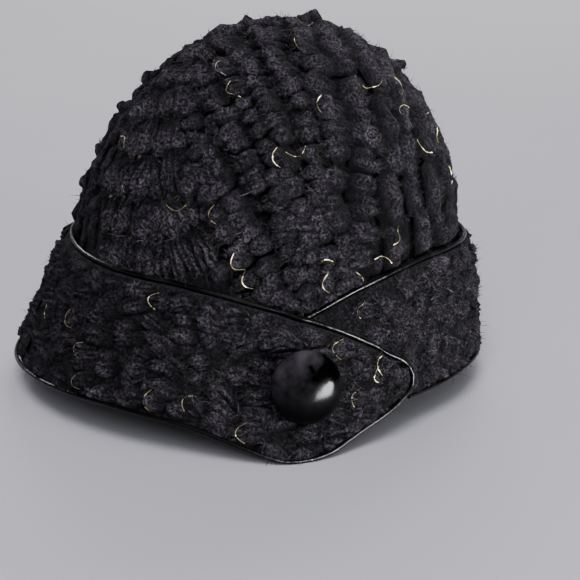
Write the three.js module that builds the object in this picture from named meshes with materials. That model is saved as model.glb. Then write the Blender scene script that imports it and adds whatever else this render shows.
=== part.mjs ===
// A cloche hat of thick ruched cloth, resting on a level surface.
// Millimetres, +Z up, the front is -Y and the wearer's left is +X.
// Angles round the hat are degrees from the front, growing towards the wearer's left.
import * as THREE from 'three';

// Head and crown.
const CROWN_HALF_WIDTH = 88.6;
const CROWN_HALF_LENGTH = 104.4;
const DOME_HEIGHT = 121;
const DOME_ARC = 170;
const WALL = 2.6;
const AXIS_FOOT = new THREE.Vector3(-1.75, 8.36, 58.4);
const LEAN_BACK = 11;
const LEAN_SIDE = -1;
const HEM_DROP = 20;

// Rows of ruched cloth on the crown: upright ones, and level ones on the front right panel.
const UPRIGHT_ROWS = 28;
const ROW_START = -160;
const POINTS_PER_ROW = 4;
const ROW_LIFT = 3.4;
const ROW_PROFILE = [0.1, 0.55, 0.85, 1];
const SHORT_PETAL = 0.62;
const PANEL_MIDDLE = -40;
const PANEL_HALF_WIDTH = 54;
const PANEL_BLEND = 4;
const LEVELS = 24;
const LEVELS_PER_ROW = 3;
const INSIDE_LEVELS = 8;
const HALVED_LEVELS = 6;
const QUARTERED_LEVELS = 3;
const EDGE_CLEARANCE = 0.8;

// How many degrees an upright row turns on its way from the band to the top.
const ROW_LEAN = [
  { angle: -160, lean: 15 },
  { angle: 20, lean: 68 },
  { angle: 60, lean: 66 },
  { angle: 112, lean: 18 },
  { angle: 200, lean: 15 },
];

// Brim band, one strip wound once round and past its own start.
const CLOTH = 4.2;
const UNDER_CLOTH = 3.2;
const PRESSED_TO = 80;
const FULL_FROM = 112;
const LIP_SHARE = 0.55;
const CLIMB_START = 20;
const CLIMB_END = 32;
const STEP_START = 3;
const STEP_END = 11;
const GAP = 0.5;
const BRIM_STEPS = 104;
const PUFF_LIFT = 1.1;
const PUFF_LENGTH = 15;
const PUFF_SLANT = 9;
const PUFF_START = 95;
const BULGE = 1.4;
const BRIM_PROFILE = [
  { height: 0.5, face: 'inner' },
  { height: 1, face: 'inner' },
  { height: 1, face: 'lip' },
  { height: 0.9, face: 'outer' },
  { height: 0.7, face: 'outer' },
  { height: 0.52, face: 'outer' },
  { height: 0.34, face: 'outer' },
  { height: 0.16, face: 'outer' },
  { height: 0, face: 'outer' },
  { height: 0, face: 'inner' },
];

// The band's outline: its top edge, its lower edge and how far that edge stands off the crown.
const BAND = [
  { angle: 34, top: 34, rim: 28, flare: 10 },
  { angle: 38, top: 43, rim: 21, flare: 12 },
  { angle: 46, top: 52, rim: 18, flare: 13.4 },
  { angle: 60, top: 62, rim: 16.5, flare: 14 },
  { angle: 74, top: 72, rim: 16, flare: 15 },
  { angle: 90, top: 78.4, rim: 16.5, flare: 16.2 },
  { angle: 103, top: 80.4, rim: 17, flare: 17.4 },
  { angle: 120, top: 78.4, rim: 16.5, flare: 19 },
  { angle: 135, top: 75, rim: 14.5, flare: 20 },
  { angle: 150, top: 71.5, rim: 10.5, flare: 20 },
  { angle: 180, top: 66, rim: 4.2, flare: 19.6 },
  { angle: 207, top: 63.5, rim: 0, flare: 19.4 },
  { angle: 240, top: 63, rim: 0, flare: 19.4 },
  { angle: 270, top: 65.5, rim: 0, flare: 19.4 },
  { angle: 300, top: 70.5, rim: 6, flare: 19.4 },
  { angle: 318, top: 74, rim: 9.8, flare: 19.6 },
  { angle: 335, top: 76, rim: 13, flare: 19.4 },
  { angle: 352, top: 76.8, rim: 17, flare: 18.8 },
  { angle: 372, top: 77.4, rim: 20, flare: 18 },
  { angle: 384, top: 77.2, rim: 19.2, flare: 18.2 },
  { angle: 395, top: 74.6, rim: 16.3, flare: 19 },
  { angle: 403, top: 71.3, rim: 11.3, flare: 20 },
  { angle: 412, top: 67, rim: 4.6, flare: 21.4 },
  { angle: 418, top: 64, rim: 0.6, flare: 22.2 },
  { angle: 424, top: 60.8, rim: 0, flare: 22.4 },
  { angle: 430, top: 57, rim: 2.2, flare: 22.2 },
  { angle: 436, top: 52.2, rim: 7.6, flare: 21.6 },
  { angle: 443, top: 46, rim: 13.2, flare: 20.8 },
  { angle: 448, top: 40, rim: 17.4, flare: 20.2 },
  { angle: 450.6, top: 36.4, rim: 20.4, flare: 20 },
];

// Piping round the band's edges.
const PIPING_RADIUS = 1.1;
const PIPING_SIDES = 6;
const PIPING_STEPS = 176;
const PIPING_SPACING = 4;
const PIPING_START = 50;
const RIM_PIPING_START = 92.5;

// Where the piping turns round the tip of the tab, and how far past the cloth's outside.
const TAB_TIP = [
  { angle: 451.2, height: 36.4, out: -1 },
  { angle: 453.2, height: 31, out: 1 },
  { angle: 453.2, height: 25, out: 1.2 },
];

// Button on the flap.
const BUTTON_ANGLE = 60.3;
const BUTTON_HEIGHT = 34.2;
const BUTTON_RADIUS = 16.6;
const BUTTON_DOME = 6;
const BUTTON_EDGE = 2.6;
const BUTTON_ROLL = 1.2;
const BUTTON_RINGS = 6;
const SHANK_RADIUS = 4;
const SHANK_LENGTH = 3;
const BUTTON_SIDES = 28;

const cloth = new THREE.MeshStandardMaterial({ name: 'cloth', color: 0x1d1c22, roughness: 0.95 });
const patent = new THREE.MeshStandardMaterial({ name: 'patent', color: 0x08080a, roughness: 0.2 });
const gloss = new THREE.MeshStandardMaterial({ name: 'gloss', color: 0x060608, roughness: 0.1 });

const radians = THREE.MathUtils.degToRad;
const lean = new THREE.Euler(-radians(LEAN_BACK), radians(LEAN_SIDE), 0);
const leanTurn = new THREE.Quaternion().setFromEuler(lean);
const axisDirection = new THREE.Vector3(0, 0, 1).applyQuaternion(leanTurn);

// The value of one column of a table at an angle, with smooth joins between the rows.
function fromTable(table, angle, column) {
  const last = table.length - 1;
  const next = Math.min(Math.max(table.findIndex((row) => row.angle > angle), 1), last);
  const after = angle >= table[last].angle ? last : next;
  const a = table[after - 1];
  const b = table[after];
  const share = THREE.MathUtils.clamp((angle - a.angle) / (b.angle - a.angle), 0, 1);
  const slopeAt = (i) => {
    const before = table[Math.max(i - 1, 0)];
    const behind = table[Math.min(i + 1, last)];
    return (behind[column] - before[column]) / (behind.angle - before.angle);
  };
  const span = b.angle - a.angle;
  const s2 = share * share;
  const s3 = s2 * share;
  const level = a[column] === b[column];
  const slopeA = level ? 0 : slopeAt(after - 1);
  const slopeB = level ? 0 : slopeAt(after);
  return a[column] * (2 * s3 - 3 * s2 + 1) + slopeA * span * (s3 - 2 * s2 + share)
    + b[column] * (3 * s2 - 2 * s3) + slopeB * span * (s3 - s2);
}

// The unit ellipse's own angle for an angle seen from above.
function ellipseAngle(angle) {
  const a = radians(angle);
  return Math.atan2(Math.sin(a) / CROWN_HALF_WIDTH, Math.cos(a) / CROWN_HALF_LENGTH);
}

// A point of the leaning crown's frame, turned and moved to its place.
function leaned(x, y, z) {
  return new THREE.Vector3(x, y, z).applyQuaternion(leanTurn).add(AXIS_FOOT);
}

// A point on the leaning straight wall, by angle, height above the surface and distance off it.
function onWall(angle, height, off) {
  const e = ellipseAngle(angle);
  const x = (CROWN_HALF_WIDTH + off) * Math.sin(e);
  const y = -(CROWN_HALF_LENGTH + off) * Math.cos(e);
  const foot = leaned(x, y, 0);
  return foot.addScaledVector(axisDirection, (height - foot.z) / axisDirection.z);
}

// A point of the crown, by angle, distance up its side from the dome's foot, and distance off it.
function onCrown(angle, up, off) {
  const e = ellipseAngle(angle);
  const rise = (Math.PI / 2) * (Math.max(up, 0) / DOME_ARC);
  const across = Math.cos(rise);
  const point = leaned(
    (CROWN_HALF_WIDTH + off) * across * Math.sin(e),
    -(CROWN_HALF_LENGTH + off) * across * Math.cos(e),
    (DOME_HEIGHT + off) * Math.sin(rise),
  );
  return point.addScaledVector(axisDirection, Math.min(up, 0));
}

// How far up the crown's side a height above the surface lies.
function upTo(angle, height) {
  const along = (height - onCrown(angle, 0, 0).z) / axisDirection.z;
  return along < 0 ? along : (DOME_ARC * Math.asin(along / DOME_HEIGHT)) / (Math.PI / 2);
}

// Joins two rings of any number of points, walking round both at the same rate.
function bridge(indices, lower, upper) {
  let i = 0;
  let j = 0;
  while (i < lower.count || j < upper.count) {
    const a = lower.start + (i % lower.count);
    const b = upper.start + (j % upper.count);
    const lowerNext = lower.count > 1 ? (i + 1) / lower.count : Infinity;
    const upperNext = upper.count > 1 ? (j + 1) / upper.count : Infinity;
    if (lowerNext === Infinity && upperNext > 1) break;
    if (upperNext === Infinity && lowerNext > 1) break;
    if (lowerNext <= upperNext) {
      indices.push(a, lower.start + ((i + 1) % lower.count), b);
      i += 1;
    } else {
      indices.push(a, upper.start + ((j + 1) % upper.count), b);
      j += 1;
    }
  }
}

// One closed skin over a row of rings; the first and last ring are single points.
function skin(rings) {
  const positions = [];
  const indices = [];
  const spans = rings.map((ring) => {
    const span = { start: positions.length / 3, count: ring.length };
    ring.forEach((p) => positions.push(p.x, p.y, p.z));
    return span;
  });
  for (let k = 0; k + 1 < spans.length; k += 1) bridge(indices, spans[k], spans[k + 1]);
  const geometry = new THREE.BufferGeometry();
  geometry.setAttribute('position', new THREE.Float32BufferAttribute(positions, 3));
  geometry.setIndex(indices);
  geometry.computeVertexNormals();
  return geometry;
}

function middle(points) {
  const sum = points.reduce((total, p) => total.add(p), new THREE.Vector3());
  return sum.divideScalar(points.length);
}

// The top edge of the band that shows at an angle.
function shownTop(angle) {
  const first = THREE.MathUtils.euclideanModulo(angle, 360);
  const under = fromTable(BAND, first, 'top');
  const over = fromTable(BAND, first + 360, 'top');
  if (first < BAND[0].angle) return over;
  return first + 360 > BAND[BAND.length - 1].angle ? under : Math.max(under, over);
}

// How much of the ruching runs level: all of it inside the front right panel.
function panelShare(angle) {
  const turn = THREE.MathUtils.euclideanModulo(angle - PANEL_MIDDLE + 180, 360) - 180;
  const edge = PANEL_HALF_WIDTH;
  return 1 - THREE.MathUtils.smoothstep(Math.abs(turn), edge - PANEL_BLEND, edge + PANEL_BLEND);
}

// How far the ruched rows stand out at one point of the crown.
function rowLift(angle, column, level, coarse) {
  const row = Math.floor(column / POINTS_PER_ROW);
  const petal = (level + row) % 2 === 0 ? 1 : SHORT_PETAL;
  const upright = petal * (coarse ? SHORT_PETAL : ROW_PROFILE[column % POINTS_PER_ROW]);
  const flat = 1 - (level % LEVELS_PER_ROW) / LEVELS_PER_ROW;
  return ROW_LIFT * THREE.MathUtils.lerp(upright, flat, panelShare(angle));
}

// One ring of the crown's outside, from the band's top edge at level 0 to near the top.
function crownRing(level, columns) {
  const coarse = columns < UPRIGHT_ROWS * POINTS_PER_ROW;
  const share = level / LEVELS;
  const ring = [];
  for (let column = 0; column < columns; column += 1) {
    const foot = ROW_START + (column * 360) / columns;
    const angle = foot - share * fromTable(ROW_LEAN, foot, 'lean');
    const edge = upTo(angle, shownTop(angle) + EDGE_CLEARANCE);
    const up = THREE.MathUtils.lerp(edge, DOME_ARC, share);
    ring.push(onCrown(angle, up, level === 0 ? 0 : rowLift(angle, column, level, coarse)));
  }
  return ring;
}

function plainRing(columns, up, off) {
  const ring = [];
  for (let column = 0; column < columns; column += 1) {
    ring.push(onCrown(ROW_START + (column * 360) / columns, up, off));
  }
  return ring;
}

// The crown: a ruched outside, a smooth inside and an open foot.
function makeCrown() {
  const full = UPRIGHT_ROWS * POINTS_PER_ROW;
  const rings = [[onCrown(0, DOME_ARC, -WALL)]];
  for (let level = INSIDE_LEVELS - 1; level >= 0; level -= 1) {
    rings.push(plainRing(full / 4, (DOME_ARC * level) / INSIDE_LEVELS, -WALL));
  }
  rings.push(plainRing(full / 4, -HEM_DROP, -WALL));
  rings.push(plainRing(full, -HEM_DROP, 0));
  for (let level = 0; level < LEVELS; level += 1) {
    const left = LEVELS - level;
    const columns = left > HALVED_LEVELS ? full : full / 2;
    rings.push(crownRing(level, left > QUARTERED_LEVELS ? columns : full / 4));
  }
  rings.push([onCrown(0, DOME_ARC, ROW_LIFT / 2)]);
  return skin(rings);
}

// The cloth of the under flap is pressed thinner where the other flap lies over it.
function clothAt(angle) {
  const full = THREE.MathUtils.smoothstep(angle, PRESSED_TO, FULL_FROM);
  return THREE.MathUtils.lerp(UNDER_CLOTH, CLOTH, full);
}

// The band's lower edge, which lies flat where it rests.
function clothRim(angle) {
  return Math.max(fromTable(BAND, angle, 'rim'), 0);
}

function clothTop(angle) {
  return fromTable(BAND, angle, 'top') - 2 * PIPING_RADIUS - GAP;
}

// The inside of the band at an angle and height, before it is lifted over the under flap.
function plainInner(angle, height) {
  const rim = clothRim(angle);
  const share = (height - rim) / (clothTop(angle) - rim);
  const out = fromTable(BAND, angle, 'flare') - clothAt(angle);
  return THREE.MathUtils.lerp(out, GAP, THREE.MathUtils.clamp(share, 0, 1));
}

// What the over flap has to clear: the under flap, falling away to nothing above its top edge.
function clearOfUnder(angle, height) {
  const above = height - clothTop(angle);
  const climb = THREE.MathUtils.smoothstep(angle, CLIMB_START, CLIMB_END);
  const step = 1 - THREE.MathUtils.smoothstep(above, STEP_START, STEP_END);
  const inner = plainInner(Math.max(angle, BAND[0].angle), height);
  return climb * (inner + clothAt(angle) * step + 2 * GAP);
}

// The inside of the band, with the over flap lifted clear of the under flap.
function innerOff(angle, height) {
  const plain = plainInner(angle, height);
  return angle < 360 ? plain : Math.max(plain, clearOfUnder(angle - 360, height));
}

// The band's outside bulges between its edges, with low puffs over it.
function puff(angle, share) {
  const edge = Math.sin(Math.PI * share);
  const along = (radians(angle) * (CROWN_HALF_WIDTH + CROWN_HALF_LENGTH)) / 2;
  const wave = Math.sin((2 * Math.PI * along) / PUFF_LENGTH + share * PUFF_SLANT);
  return edge * (BULGE + PUFF_LIFT * wave);
}

function brimPoint(angle, place) {
  const rim = clothRim(angle);
  const height = THREE.MathUtils.lerp(rim, clothTop(angle), place.height);
  const inner = innerOff(angle, height);
  const thick = clothAt(angle) + (angle < PUFF_START ? 0 : puff(angle, place.height));
  const off = { inner, lip: inner + LIP_SHARE * thick, outer: inner + thick }[place.face];
  return onWall(angle, height, off);
}

function brimSection(angle) {
  return BRIM_PROFILE.map((place) => brimPoint(angle, place));
}

// The brim: one band from the hidden under end, round the back, to the tab of the over flap.
function makeBrim() {
  const first = BAND[0].angle;
  const last = BAND[BAND.length - 1].angle;
  const sections = [];
  for (let step = 0; step <= BRIM_STEPS; step += 1) {
    sections.push(brimSection(first + ((last - first) * step) / BRIM_STEPS));
  }
  return skin([[middle(sections[0])], ...sections, [middle(sections[BRIM_STEPS])]]);
}

// The middle of the piping along the band's top edge.
function topPipingPoint(angle) {
  const height = clothTop(angle) + GAP + PIPING_RADIUS;
  return onWall(angle, height, innerOff(angle, height) + PIPING_RADIUS + GAP);
}

// The middle of the piping along the band's lower edge, outside the cloth.
function rimPipingPoint(angle) {
  const rim = clothRim(angle);
  const height = rim + PIPING_RADIUS;
  return onWall(angle, height, innerOff(angle, height) + clothAt(angle) + GAP + PIPING_RADIUS);
}

// The piping: one strip along the top edge, round the tab's tip and back along the lower edge.
function makePiping() {
  const last = BAND[BAND.length - 1].angle;
  const points = [];
  for (let angle = PIPING_START; angle < last - PIPING_SPACING; angle += PIPING_SPACING) {
    points.push(topPipingPoint(angle));
  }
  TAB_TIP.forEach(({ angle, height, out }) => {
    points.push(onWall(angle, height, innerOff(last, height) + clothAt(last) + out));
  });
  for (let angle = last; angle > RIM_PIPING_START; angle -= PIPING_SPACING) {
    points.push(rimPipingPoint(angle));
  }
  const path = new THREE.CatmullRomCurve3(points);
  const corners = [];
  for (let side = 0; side < PIPING_SIDES; side += 1) {
    const turn = (2 * Math.PI * side) / PIPING_SIDES;
    corners.push(new THREE.Vector2(PIPING_RADIUS * Math.cos(turn), PIPING_RADIUS * Math.sin(turn)));
  }
  return new THREE.ExtrudeGeometry(new THREE.Shape(corners), { steps: PIPING_STEPS, extrudePath: path });
}

// The button: a low dome with a rolled edge and a short shank behind it.
function makeButton() {
  const profile = [
    new THREE.Vector2(0, 0),
    new THREE.Vector2(SHANK_RADIUS, 0),
    new THREE.Vector2(SHANK_RADIUS, SHANK_LENGTH),
    new THREE.Vector2(BUTTON_RADIUS - BUTTON_ROLL, SHANK_LENGTH),
    new THREE.Vector2(BUTTON_RADIUS, SHANK_LENGTH + BUTTON_ROLL),
  ];
  for (let step = 0; step <= BUTTON_RINGS; step += 1) {
    const a = (Math.PI / 2) * (step / BUTTON_RINGS);
    const rise = SHANK_LENGTH + BUTTON_EDGE + BUTTON_DOME * Math.sin(a);
    profile.push(new THREE.Vector2(BUTTON_RADIUS * Math.cos(a), rise));
  }
  profile[profile.length - 1].x = 0;
  return new THREE.LatheGeometry(profile, BUTTON_SIDES);
}

// A point of the over flap's outside, before its bulge and puffs.
function onFlap(angle, height) {
  return onWall(angle, height, innerOff(angle, height) + clothAt(angle));
}

// Puts the button on the flap, its axis square to the cloth under it.
function placeButton(mesh) {
  const angle = 360 + BUTTON_ANGLE;
  const seat = onFlap(angle, BUTTON_HEIGHT);
  const side = onFlap(angle + 4, BUTTON_HEIGHT).sub(seat);
  const above = onFlap(angle, BUTTON_HEIGHT + 8).sub(seat);
  const out = side.cross(above).normalize();
  mesh.quaternion.setFromUnitVectors(new THREE.Vector3(0, 1, 0), out);
  mesh.position.copy(seat).addScaledVector(out, BULGE + PUFF_LIFT + GAP);
}

function named(name, geometry, material) {
  const mesh = new THREE.Mesh(geometry, material);
  mesh.name = name;
  return mesh;
}

const hat = new THREE.Group();
const button = named('button', makeButton(), gloss);
placeButton(button);
hat.add(
  named('crown', makeCrown(), cloth),
  named('brim', makeBrim(), cloth),
  named('piping', makePiping(), patent),
  button,
);

export default hat;
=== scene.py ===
# A cloche hat of ruched yarn cloth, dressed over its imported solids.
# Tables and sizes are in millimetres, as the hat's solids are; meshes are written in metres.
# Angles round the hat are degrees from the front, growing towards the wearer's left.
import math

import bpy
import numpy as np
from mathutils import Matrix, Vector
from mathutils.bvhtree import BVHTree


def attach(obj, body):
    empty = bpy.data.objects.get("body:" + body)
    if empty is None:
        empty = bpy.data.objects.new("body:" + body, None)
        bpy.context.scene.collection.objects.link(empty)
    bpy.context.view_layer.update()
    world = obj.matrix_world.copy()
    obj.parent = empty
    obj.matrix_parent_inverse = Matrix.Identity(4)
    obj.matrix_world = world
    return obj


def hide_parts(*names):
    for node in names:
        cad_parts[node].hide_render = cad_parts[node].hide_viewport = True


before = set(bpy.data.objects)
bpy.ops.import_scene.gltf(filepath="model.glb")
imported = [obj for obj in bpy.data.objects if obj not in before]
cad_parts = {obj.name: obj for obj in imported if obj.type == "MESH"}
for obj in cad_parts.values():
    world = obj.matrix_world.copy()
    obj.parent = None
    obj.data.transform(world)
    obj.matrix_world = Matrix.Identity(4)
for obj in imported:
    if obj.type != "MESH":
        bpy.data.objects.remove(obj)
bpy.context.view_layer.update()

MM = 0.001
SEED = 29

# The photograph's camera.
IMAGE_SIZE = 580
CAMERA_PLACE = np.array([609.437, -526.705, 353.384])
CAMERA_AZIMUTH = 47.91
CAMERA_ELEVATION = 21.13
CAMERA_ROLL = 2.876
FOCAL_PIXELS = 1664.0
SENSOR = 36.0

# Head and crown, as in the solids.
CROWN_HALF_WIDTH = 88.6
CROWN_HALF_LENGTH = 104.4
DOME_HEIGHT = 121.0
DOME_ARC = 170.0
WALL = 2.6
AXIS_FOOT = np.array([-1.75, 8.36, 58.4])
LEAN_BACK = 11.0
LEAN_SIDE = -1.0
HEM_DROP = 20.0

# Brim band, as in the solids: how thick its cloth is, the angles over which it thickens and climbs
# over its own start, how far above that start it steps in, how far its end hides what lies beside
# it, and its shape by angle.
CLOTH = 4.2
UNDER_CLOTH = 3.2
THICKENS = (80, 112)
CLIMBS = (20, 32)
STEPS_IN = (3, 11)
GAP = 0.5
FLAP_MARGIN = 2
BAND_COLUMNS = ("angle", "top", "rim", "flare")
BAND = [
    (34, 34, 28, 10), (38, 43, 21, 12), (46, 52, 18, 13.4),
    (60, 62, 16.5, 14), (74, 72, 16, 15), (90, 78.4, 16.5, 16.2),
    (103, 80.4, 17, 17.4), (120, 78.4, 16.5, 19), (135, 75, 14.5, 20),
    (150, 71.5, 10.5, 20), (180, 66, 4.2, 19.6), (207, 63.5, 0, 19.4),
    (240, 63, 0, 19.4), (270, 65.5, 0, 19.4), (300, 70.5, 6, 19.4),
    (318, 74, 9.8, 19.6), (335, 76, 13, 19.4), (352, 76.8, 17, 18.8),
    (372, 77.4, 20, 18), (384, 77.2, 19.2, 18.2), (395, 74.6, 16.3, 19),
    (403, 71.3, 11.3, 20), (412, 67, 4.6, 21.4), (418, 64, 0.6, 22.2),
    (424, 60.8, 0, 22.4), (430, 57, 2.2, 22.2), (436, 52.2, 7.6, 21.6),
    (443, 46, 13.2, 20.8), (448, 40, 17.4, 20.2), (450.6, 36.4, 20.4, 20),
]
BAND_START = BAND[0][0]
BAND_END = BAND[-1][0]

# Piping and button, as in the solids, but for a slightly wider button.
MM_PER_DEGREE = 1.8
PIPING_RADIUS = 1.1
PIPING_SPACING = 4
PIPING_START = 50
PIPING_SIDES = 14
PIPING_STEP = 1.6
PIPING_UNEVEN = 0.05
RIM_PIPING_START = 92.5
TAB_TIP = [(451.2, 36.4, -1), (453.2, 31, 1), (453.2, 25, 1.2)]
BUTTON_ANGLE = 60.3
BUTTON_HEIGHT = 34.2
BUTTON_RADIUS = 17.2
BUTTON_DOME = 6.0
BUTTON_EDGE = 2.6
BUTTON_ROLL = 1.2
SHANK_RADIUS = 4.0
SHANK_LENGTH = 3.0
BUTTON_LIFT = 3.0
BUTTON_SIDES = 128
BUTTON_ROLL_STEPS = 8
BUTTON_DOME_STEPS = 28
PINHOLE = 0.001

# Rows of puffs on the part of the crown that the photograph shows: the free edge of each row,
# in the photograph's pixels from the top of the hat down. The free edges of the front rows face
# the wearer's right ear, those of the flank rows the left one. They lie a little off the crown.
RIGHTWARD = -1
LEFTWARD = 1
ROWS_OFF = 2.5
FRONT_ROWS = [
    [(180, 196), (190, 199), (202, 206), (207, 222), (213, 238), (222, 252), (228, 268), (241, 286),
     (256, 304)],
    [(178, 108), (186, 140), (190, 165), (201, 187), (219, 208), (235, 234), (247, 250), (256, 268),
     (270, 310)],
    [(194, 82), (205, 110), (220, 138), (231, 152), (241, 176), (253, 194), (264, 212), (272, 236),
     (288, 316)],
    [(211, 60), (218, 76), (226, 92), (236, 110), (247, 130), (256, 148), (262, 168), (269, 192),
     (280, 226), (288, 262), (298, 318)],
    [(206, 43), (219, 51), (232, 62), (243, 80), (252, 104), (262, 122), (272, 144), (279, 182),
     (290, 222), (298, 256), (308, 318)],
    [(246, 24), (252, 38), (262, 60), (274, 80), (286, 96), (294, 114), (299, 150), (304, 190),
     (312, 230), (320, 312)],
    [(290, 22), (291, 40), (300, 62), (308, 84), (313, 105), (320, 128), (324, 150), (322, 190),
     (324, 220), (332, 250), (340, 306)],
]
FLANK_ROWS = [
    [(330, 24), (340, 42), (352, 64), (362, 84), (367, 100), (372, 122), (375, 150), (374, 180),
     (372, 210), (366, 292)],
    [(356, 36), (374, 60), (388, 86), (394, 108), (398, 140), (399, 175), (401, 210), (404, 272)],
    [(384, 58), (398, 80), (408, 106), (413, 140), (418, 180), (424, 210), (430, 256)],
    [(406, 82), (418, 104), (429, 134), (436, 168), (442, 205), (449, 246)],
]

# Level rows of the front panel: the angles of the row's right and left ends, how far up the crown
# its free edge lies at the right end, the middle and the left end, and how thick its puffs are.
LEVEL_ROWS = [
    (-2, 46, -28, -25, -13, 1.0),
    (-3, 36, -9, -4, 10, 1.0),
    (-4, 34, 8, 13, 27, 1.0),
    (-6, 31, 23, 30, 46, 1.5),
    (-10, 27, 41, 48, 60, 1.0),
    (-15, 17, 59, 65, 76, 1.0),
    (-19, 9, 76, 81, 90, 1.0),
    (-23, 3, 92, 97, 103, 1.0),
    (-27, -4, 109, 113, 117, 1.0),
    (-30, -10, 125, 128, 130, 1.0),
]
LEVEL_POINTS = 24
# Painted light: the level rows' puffs are painted lighter.
LEVEL_PAINTED_LIGHT = 1.2

# Where the front rows turn into smooth ridges near the top, and the sizes that do it.
SMOOTHS = (88, 128)
SMOOTH_PUFF = {"fullness": 6.0, "rounding": 0.1, "lumps": 0.4, "flutes": 0.06, "height": 4.0}
SMOOTH_WIDENING = 0.35

# Upright rows of the flanks and the back, made by a loop: angles of their parts, how far up and
# down the crown they reach, and how much the ones near the front lean.
BACK_START = 132
LEFT_FLANK_END = 165
BACK_MIDDLE = 196
RIGHT_FLANK_START = 235
LEAN_START = 270
FACE_START = 310
BACK_END = 356
BACK_SPACING = 7.4
BACK_TOPS = (158, 104, 136, 104)
BACK_FOOT = -22
BACK_POINTS = 14
FRONT_LEAN = 0.2
# Painted shade: the upright rows nearest the front, on the wearer's right, are painted darker.
PAINTED_SHADE_TONE = 0.6

# Rings of puffs at the very top, and low puffs that fill what the rows leave bare.
TOP_RINGS = (150, 161)
RING_POINTS = 40
FILLER_UPS = (-8, 150)
FILLER_RADIUS = 97
FILLER_SPACING = 11.0
FILLER_TURN = 3
FILLER_SHIFT = 4
# Painted shade: the low filler puffs between the rows are painted darker.
FILLER_PAINTED_SHADE = 0.8

# Puffs whose outward side points further back than this belong to the back piece.
BACK_FROM = 0.1

# Flaps that stand off the crown's outline: the tip's pixel, the pixel it grows from, and its width.
OUTLINE_FLAPS = [
    ((152, 74), (136, 92), 9.0),
    ((125, 103), (112, 124), 9.0),
    ((102, 144), (91, 166), 9.0),
    ((86, 176), (79, 200), 9.0),
    ((246, 20), (250, 34), 7.0),
    ((314, 15), (318, 30), 9.0),
    ((404, 68), (384, 54), 9.0),
]
FLAP_LENGTH = 8.5
FLAP_LIFT = 0.2
FLAP_OVERHANG = 1.0
FLAP_SHAPE = {
    "height": 4.8, "flutes": 0.1, "folds": 2.0, "phase": 0.0, "rounding": 0.45, "fullness": 2.2,
    "lumps": 0.5, "tone": 0.8,
}

# Puffs: pitch along the row, length across it, height, depth and number of flutes, how far the
# corners are rounded off, how full the sides are, how lumpy they are, and how much puffs differ.
PUFF_COLUMNS = (
    "pitch", "length", "height", "flutes", "folds", "rounding", "fullness", "lumps", "spread",
)
PUFF_TABLE = {
    "front": (8.0, 14.0, 5.3, 0.12, 2.2, 0.36, 2.6, 1.0, 0.85),
    "middle": (11.5, 16.0, 4.9, 0.2, 2.4, 0.3, 3.2, 1.2, 1.1),
    "flank": (23.0, 13.6, 3.8, 0.18, 2.0, 0.2, 4.6, 0.8, 0.9),
    "level": (9.8, 21.0, 3.7, 0.34, 3.0, 0.24, 3.4, 0.8, 0.7),
    "back": (8.8, 15.0, 3.8, 0.1, 2.2, 0.34, 2.6, 1.0, 1.0),
    "top": (9.0, 13.0, 3.2, 0.1, 2.2, 0.34, 2.6, 1.0, 1.2),
    "filler": (8.5, 10.0, 1.7, 0.1, 2.2, 0.34, 2.6, 1.0, 1.2),
    "brim": (8.4, 16.0, 2.5, 0.26, 2.6, 0.3, 3.2, 1.8, 1.6),
}
PUFFS = {name: dict(zip(PUFF_COLUMNS, sizes)) for name, sizes in PUFF_TABLE.items()}

# Steps of a smooth curve between two of the points that it passes through.
CURVE_STEPS = 12

# Middle line of a puff from its sewn end over its free end: share of its length and height.
PUFF_LINE = [
    (0.0, 0.0), (0.1, 0.26), (0.24, 0.52), (0.4, 0.75), (0.57, 0.92), (0.73, 1.0), (0.86, 0.95),
    (0.95, 0.8), (1.0, 0.58), (0.98, 0.36), (0.9, 0.2), (0.78, 0.14),
]
PUFF_STEPS_ACROSS = 12
SEWN_END_WIDTH = 0.8
WIDE_FROM = 0.5
CORNER_POWER = 2.2
PUFF_LEAN = 0.16
PUFF_OVERLAP = 1.16
PUFF_SINK = 2.1

# How much the puffs of a row differ: in place along it, turn in degrees, lift and shift off it,
# length, and the ranges that the other sizes are drawn from.
PLACE_JITTER = 0.16
TURN_JITTER = 10
LIFT_MEAN = 0.03
LIFT_JITTER = 0.05
SHIFT_JITTER = 1.1
SHORTER = 0.2
LONGER = 0.16
PUFF_RANGES = {
    "width": (0.84, 1.2), "height": (0.6, 1.25), "flutes": (0.5, 1.6), "folds": (0.75, 1.3),
    "phase": (0, 2 * math.pi), "rounding": (0.7, 1.2), "fullness": (0.85, 1.2),
}
DARKEST_PUFF = 0.8
TONE_RANGE = 0.4

# How far puffs may rise near the band's top edge and near the band's own edges.
EDGE_RISE = 0.1
EDGE_MARGIN = 0.4
EDGE_SLOPE = 2.6
BAND_EDGE_RISE = 0.3
BAND_EDGE_SLOPE = 1.4
RIM_MARGIN = 0.6
TOP_MARGIN = 0.4
TAB_MARGIN = 1
BELLY_AT = 0.7
HIDDEN_BELOW = 4

# Upright rows of the band's puffs, and how much higher the puffs stand round the button.
BAND_ROW_SPACING = 6.9
BAND_ROW_FROM = 6
BAND_ROW_TO = 3
BAND_ROW_MARGIN = 2.5
BAND_ROW_POINTS = 20
BAND_WAVE = 1.2
BAND_WAVE_LENGTH = 9
BUTTON_REACH = 1.6

# Uneven surfaces: wavelengths and sizes of what bends the puffs, from large to small. It fades
# below the given height, so that puffs stay on their cloth.
WARP_WAVELENGTH = 8.0
WARP_SIZE = 0.8
RIPPLE_WAVES = 28
RIPPLE_SPREAD = (0.8, 1.25)
RIPPLE_HEIGHT = 0.6
RIPPLE_WAVELENGTHS = (7.0, 2.4, 1.3)
RIPPLE_SIZES = (0.55, 0.38, 0.16)
UNEVEN_FROM = 1.5
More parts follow.
